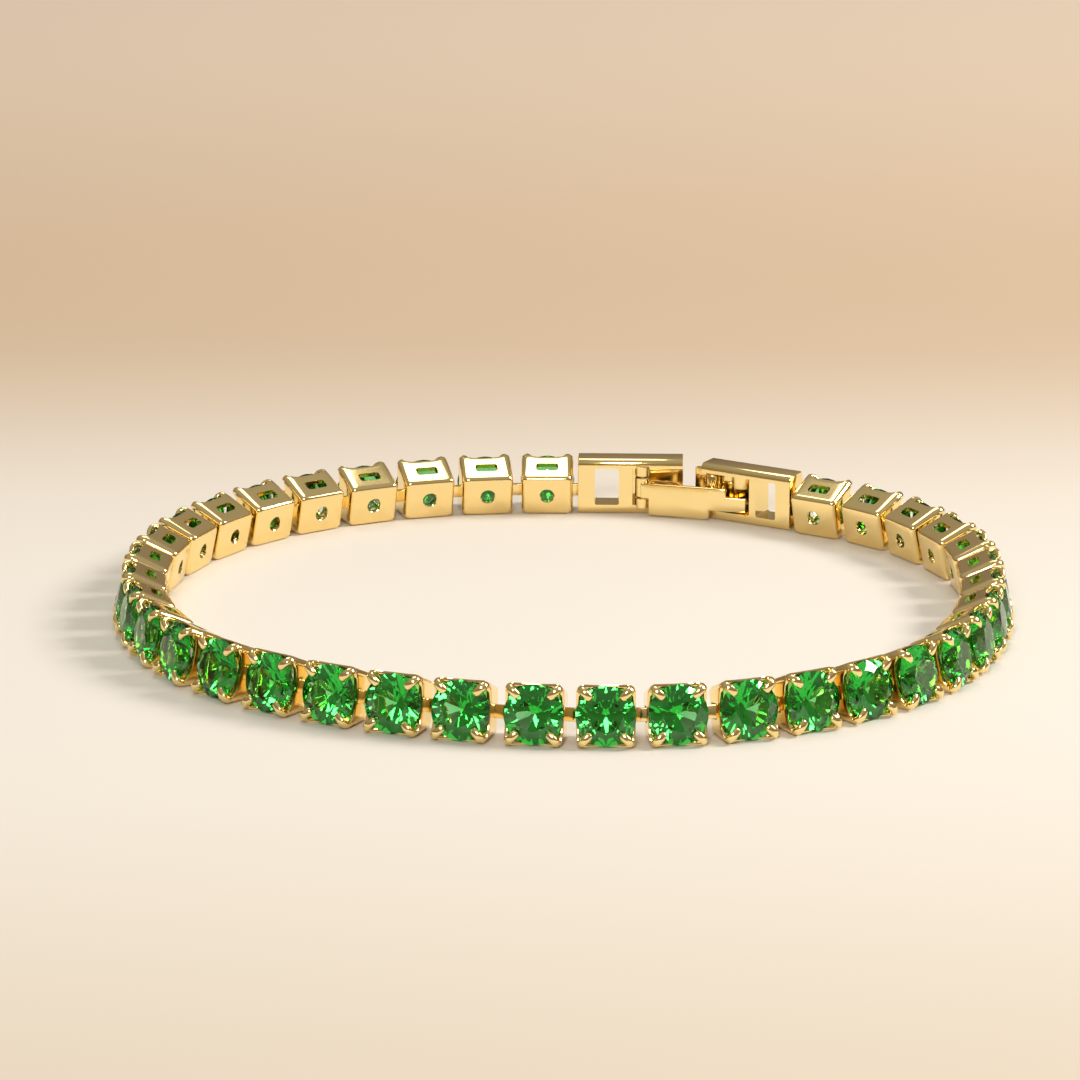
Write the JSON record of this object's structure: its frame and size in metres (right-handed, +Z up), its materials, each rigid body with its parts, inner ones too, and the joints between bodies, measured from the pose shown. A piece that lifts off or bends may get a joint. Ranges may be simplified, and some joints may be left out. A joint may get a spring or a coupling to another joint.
{
  "type": "tennis bracelet",
  "caption": "Line bracelet of square gold baskets with round green brilliant-cut stones, linked by flat T tongues and closed by a fold-over clasp, standing on its edge as a loop.",
  "frame": {"origin": "middle of the loop's box, on the surface that the bracelet's lower edge rests on", "axes": "+X along the loop's longest side, +Y from the front of the loop to the clasp, +Z up, across the band's width"},
  "size_m": [0.0628, 0.06, 0.0042],
  "materials": {
    "gold": "polished yellow gold plate on the baskets, prongs, tongues and clasp",
    "green_stone": "faceted, polished dark green brilliant-cut stone"
  },
  "bodies": {
    "chain": {"stone_link_01": "gold", "stone_link_02": "gold", "stone_link_03": "gold", "stone_link_04": "gold", "stone_link_05": "gold", "stone_link_06": "gold", "stone_link_07": "gold", "stone_link_08": "gold", "stone_link_09": "gold", "stone_link_10": "gold", "stone_link_11": "gold", "stone_link_12": "gold", "stone_link_13": "gold", "stone_link_14": "gold", "stone_link_15": "gold", "stone_link_16": "gold", "stone_link_17": "gold", "stone_link_18": "gold", "stone_link_19": "gold", "stone_link_20": "gold", "stone_link_21": "gold", "stone_link_22": "gold", "stone_link_23": "gold", "stone_link_24": "gold", "stone_link_25": "gold", "stone_link_26": "gold", "stone_link_27": "gold", "stone_link_28": "gold", "stone_link_29": "gold", "stone_link_30": "gold", "stone_link_31": "gold", "stone_link_32": "gold", "stone_link_33": "gold", "stone_link_34": "gold", "stone_link_35": "gold", "stone_link_36": "gold", "catch_frame": "gold", "hinge_frame": "gold", "hinge_pin": "gold"},
    "lever": {"clasp_lever": "gold"}
  },
  "joints": [
    {"name": "lever_hinge", "type": "hinge", "parent": "chain", "child": "lever", "pos_m": [0.006, 0.02715, 0.0021], "axis": [0, 0, -1], "range_deg": [0, 80]}
  ]
}
